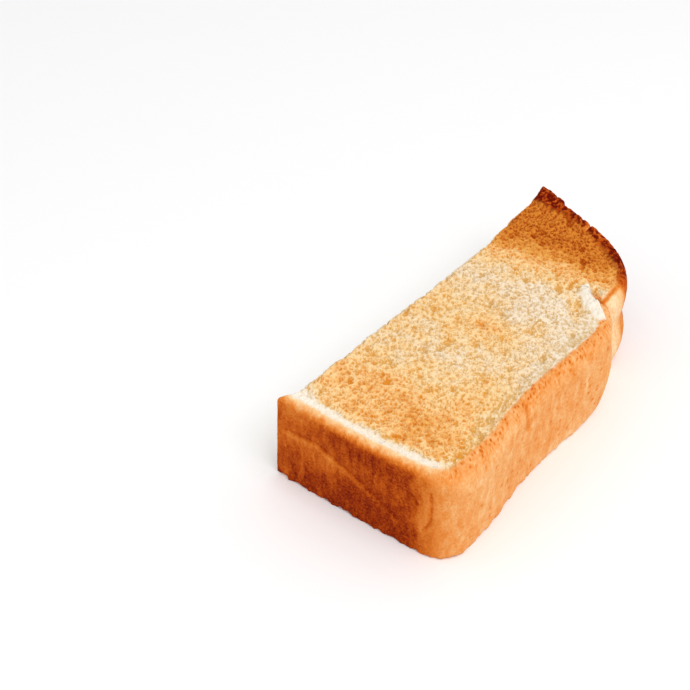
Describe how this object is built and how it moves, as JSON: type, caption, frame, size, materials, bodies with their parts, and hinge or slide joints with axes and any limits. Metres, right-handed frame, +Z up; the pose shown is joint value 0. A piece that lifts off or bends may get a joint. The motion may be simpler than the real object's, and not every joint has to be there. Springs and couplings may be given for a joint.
{
  "type": "toasted half slice of tin loaf",
  "caption": "Thick toasted half slice of an open-top tin loaf, lying flat: square base, fold at the tin's rim, domed top, baked crust round the outside and a knife-cut crumb face.",
  "frame": {"origin": "middle of the underside, at the bottom centre of the bounding box", "axes": "+Y up the loaf from the bottom crust to the dome, +X from the knife cut to the side crust, +Z up through the slice's thickness"},
  "size_m": [0.0592, 0.128, 0.03],
  "materials": {
    "toasted_bread": "dry, porous toasted crumb, golden with pale patches and brown towards the dome, inside a matt peach to dark brown baked crust"
  },
  "bodies": {
    "root": {"toasted_half_slice": "toasted_bread"}
  },
  "joints": []
}
